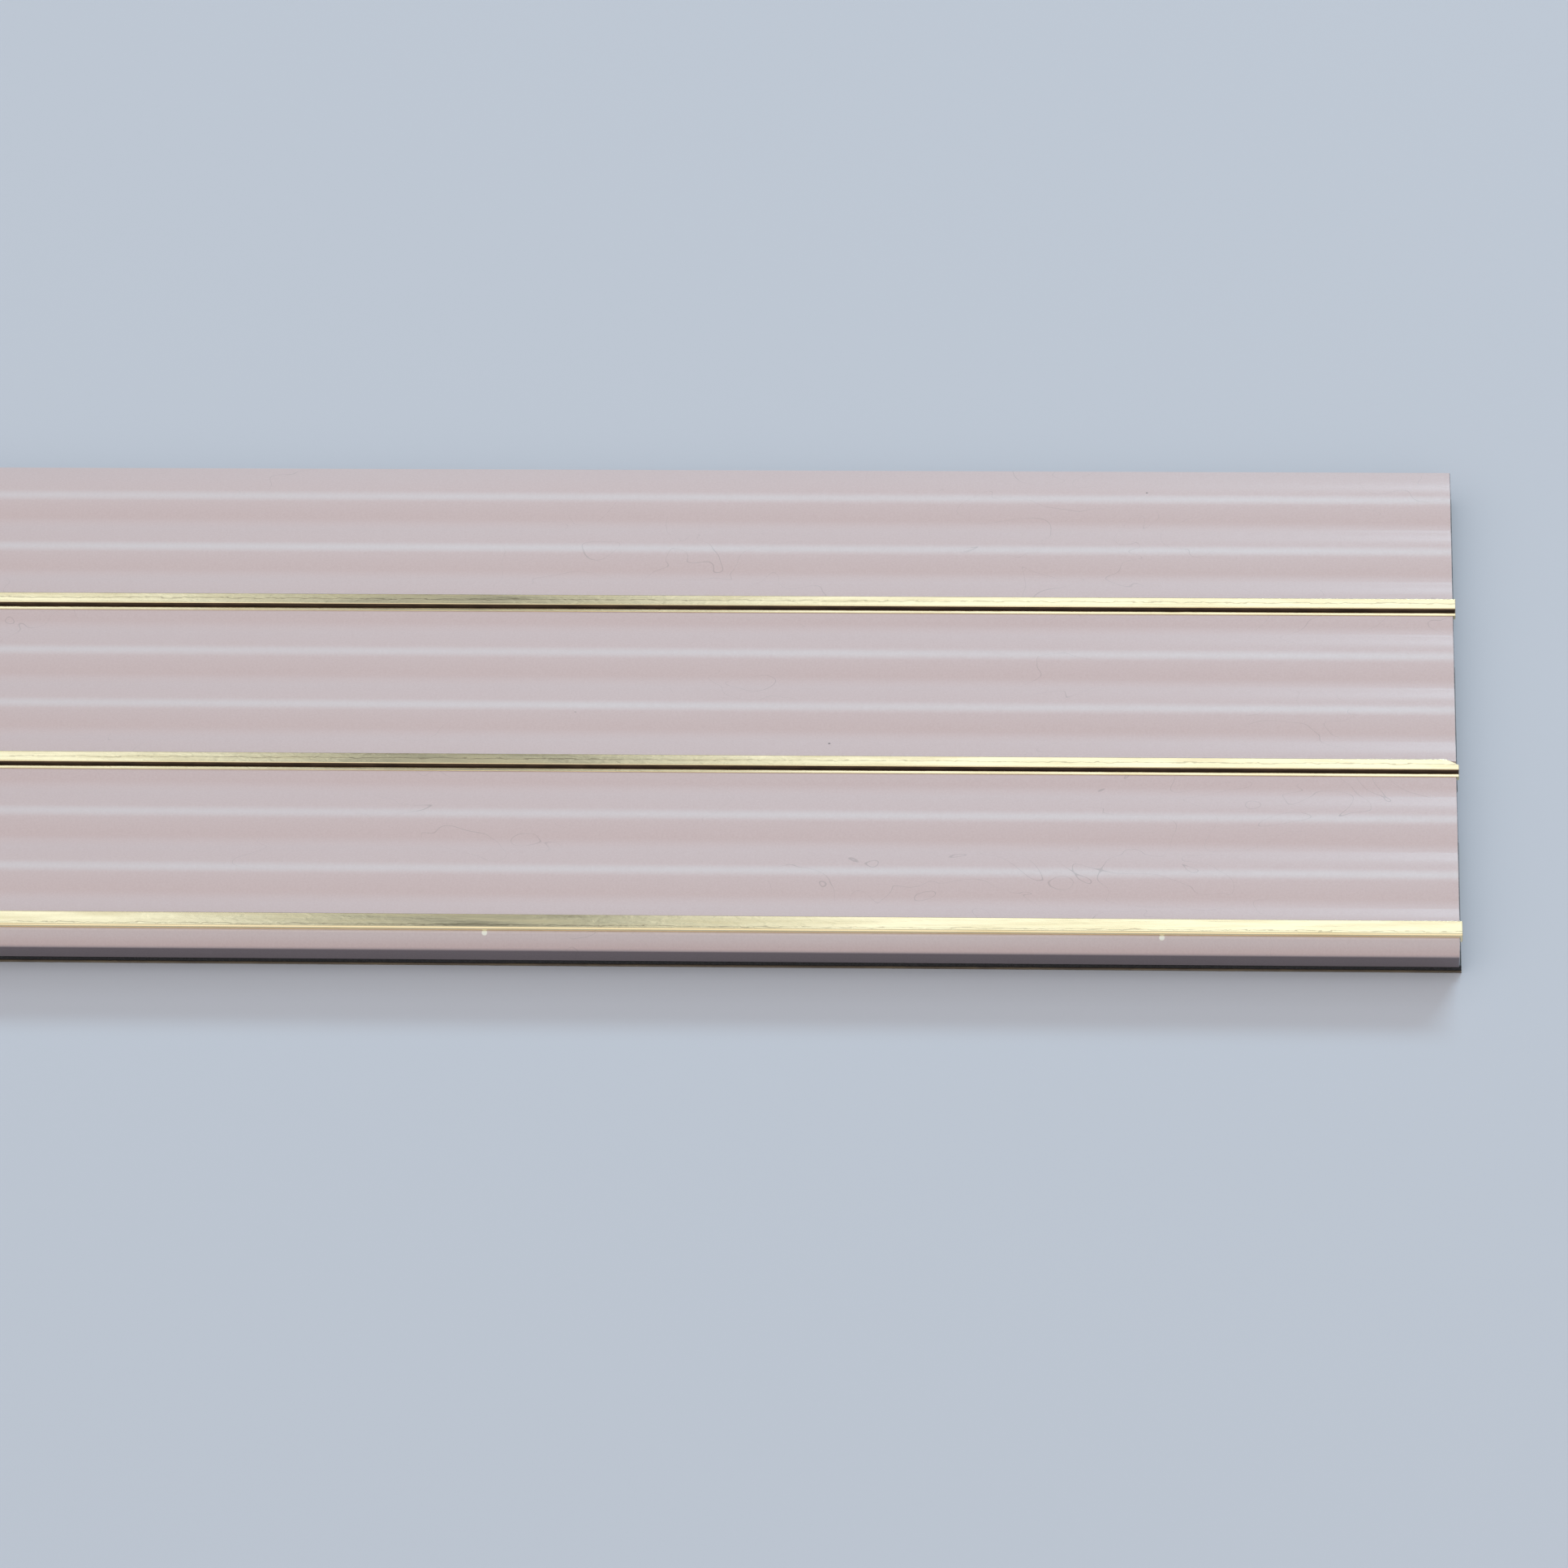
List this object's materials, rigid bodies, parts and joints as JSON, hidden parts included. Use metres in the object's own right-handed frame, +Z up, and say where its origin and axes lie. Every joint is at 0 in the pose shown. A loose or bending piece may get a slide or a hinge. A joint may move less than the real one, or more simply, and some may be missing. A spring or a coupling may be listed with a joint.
{
  "type": "threshold strip",
  "caption": "Self-adhesive reeded metal threshold strip with raised brass trim lines, laid flat over a floor joint in a doorway.",
  "frame": {"origin": "on the floor, under the middle of the strip, at the underside of the release liners", "axes": "+X along the strip, +Y from its front edge (the rounded lip with a brass trim beside it) to its back edge, +Z up"},
  "size_m": [0.9, 0.04, 0.0029],
  "materials": {
    "champagne_anodised_aluminium": "matte anodised",
    "polished_brass": "polished",
    "polyethylene_foam": "matte closed-cell foam",
    "glassine_paper": "silicone-coated, slightly glossy"
  },
  "bodies": {
    "root": {"carrier_profile": "champagne_anodised_aluminium", "front_trim_strip": "polished_brass", "middle_trim_strip": "polished_brass", "rear_trim_strip": "polished_brass", "front_foam_tape": "polyethylene_foam", "middle_foam_tape": "polyethylene_foam", "rear_foam_tape": "polyethylene_foam", "front_release_liner": "glassine_paper", "middle_release_liner": "glassine_paper", "rear_release_liner": "glassine_paper"}
  },
  "joints": []
}
